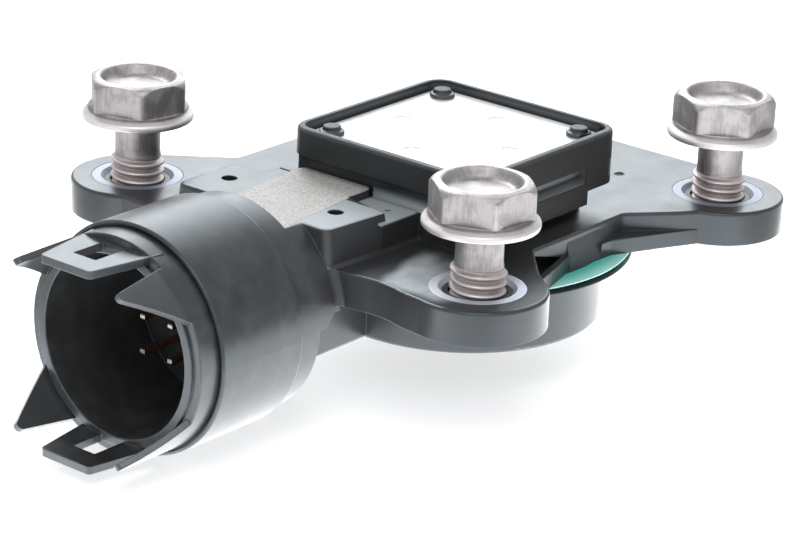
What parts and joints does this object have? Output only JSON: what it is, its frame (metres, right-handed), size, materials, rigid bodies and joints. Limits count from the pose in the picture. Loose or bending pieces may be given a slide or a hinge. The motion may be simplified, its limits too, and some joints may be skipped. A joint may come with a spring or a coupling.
{
  "type": "eccentric shaft sensor",
  "caption": "Angle sensor for an engine's eccentric shaft: eared plate with captive flange bolts, board box, round crowned connector, and a sealed spigot below.",
  "frame": {"origin": "on the spigot's axis in the plane of the ears' undersides", "axes": "+Z away from the engine along the bolts, -Y the way the round connector points"},
  "size_m": [0.0636, 0.0844, 0.0295],
  "materials": {
    "black_plastic": "satin",
    "cover_metal": "satin",
    "board": "satin",
    "chip": "matte",
    "green_rubber": "satin",
    "terminal": "satin",
    "sleeve": "satin",
    "retainer_plastic": "matte",
    "zinc_steel": "zinc plated"
  },
  "bodies": {
    "sensor": {"housing": "black_plastic", "cover_plate": "cover_metal", "circuit_board": "board", "sensor_chip_a": "chip", "sensor_chip_b": "chip", "capacitor_a": "chip", "capacitor_b": "chip", "seal_ring": "green_rubber", "terminal_1": "terminal", "terminal_2": "terminal", "terminal_3": "terminal", "terminal_4": "terminal", "terminal_5": "terminal", "sleeve_front": "sleeve", "sleeve_right": "sleeve", "sleeve_left": "sleeve", "bolt_retainer_front": "retainer_plastic", "bolt_retainer_right": "retainer_plastic", "bolt_retainer_left": "retainer_plastic"},
    "bolt_front": {"bolt_front": "zinc_steel"},
    "bolt_right": {"bolt_right": "zinc_steel"},
    "bolt_left": {"bolt_left": "zinc_steel"}
  },
  "joints": [
    {"name": "bolt_front_slide", "type": "slide", "parent": "sensor", "child": "bolt_front", "axis": [0, 0, -1], "range_m": [0, 0.00674]},
    {"name": "bolt_right_slide", "type": "slide", "parent": "sensor", "child": "bolt_right", "axis": [0, 0, -1], "range_m": [0, 0.00674]},
    {"name": "bolt_left_slide", "type": "slide", "parent": "sensor", "child": "bolt_left", "axis": [0, 0, -1], "range_m": [0, 0.00674]}
  ]
}
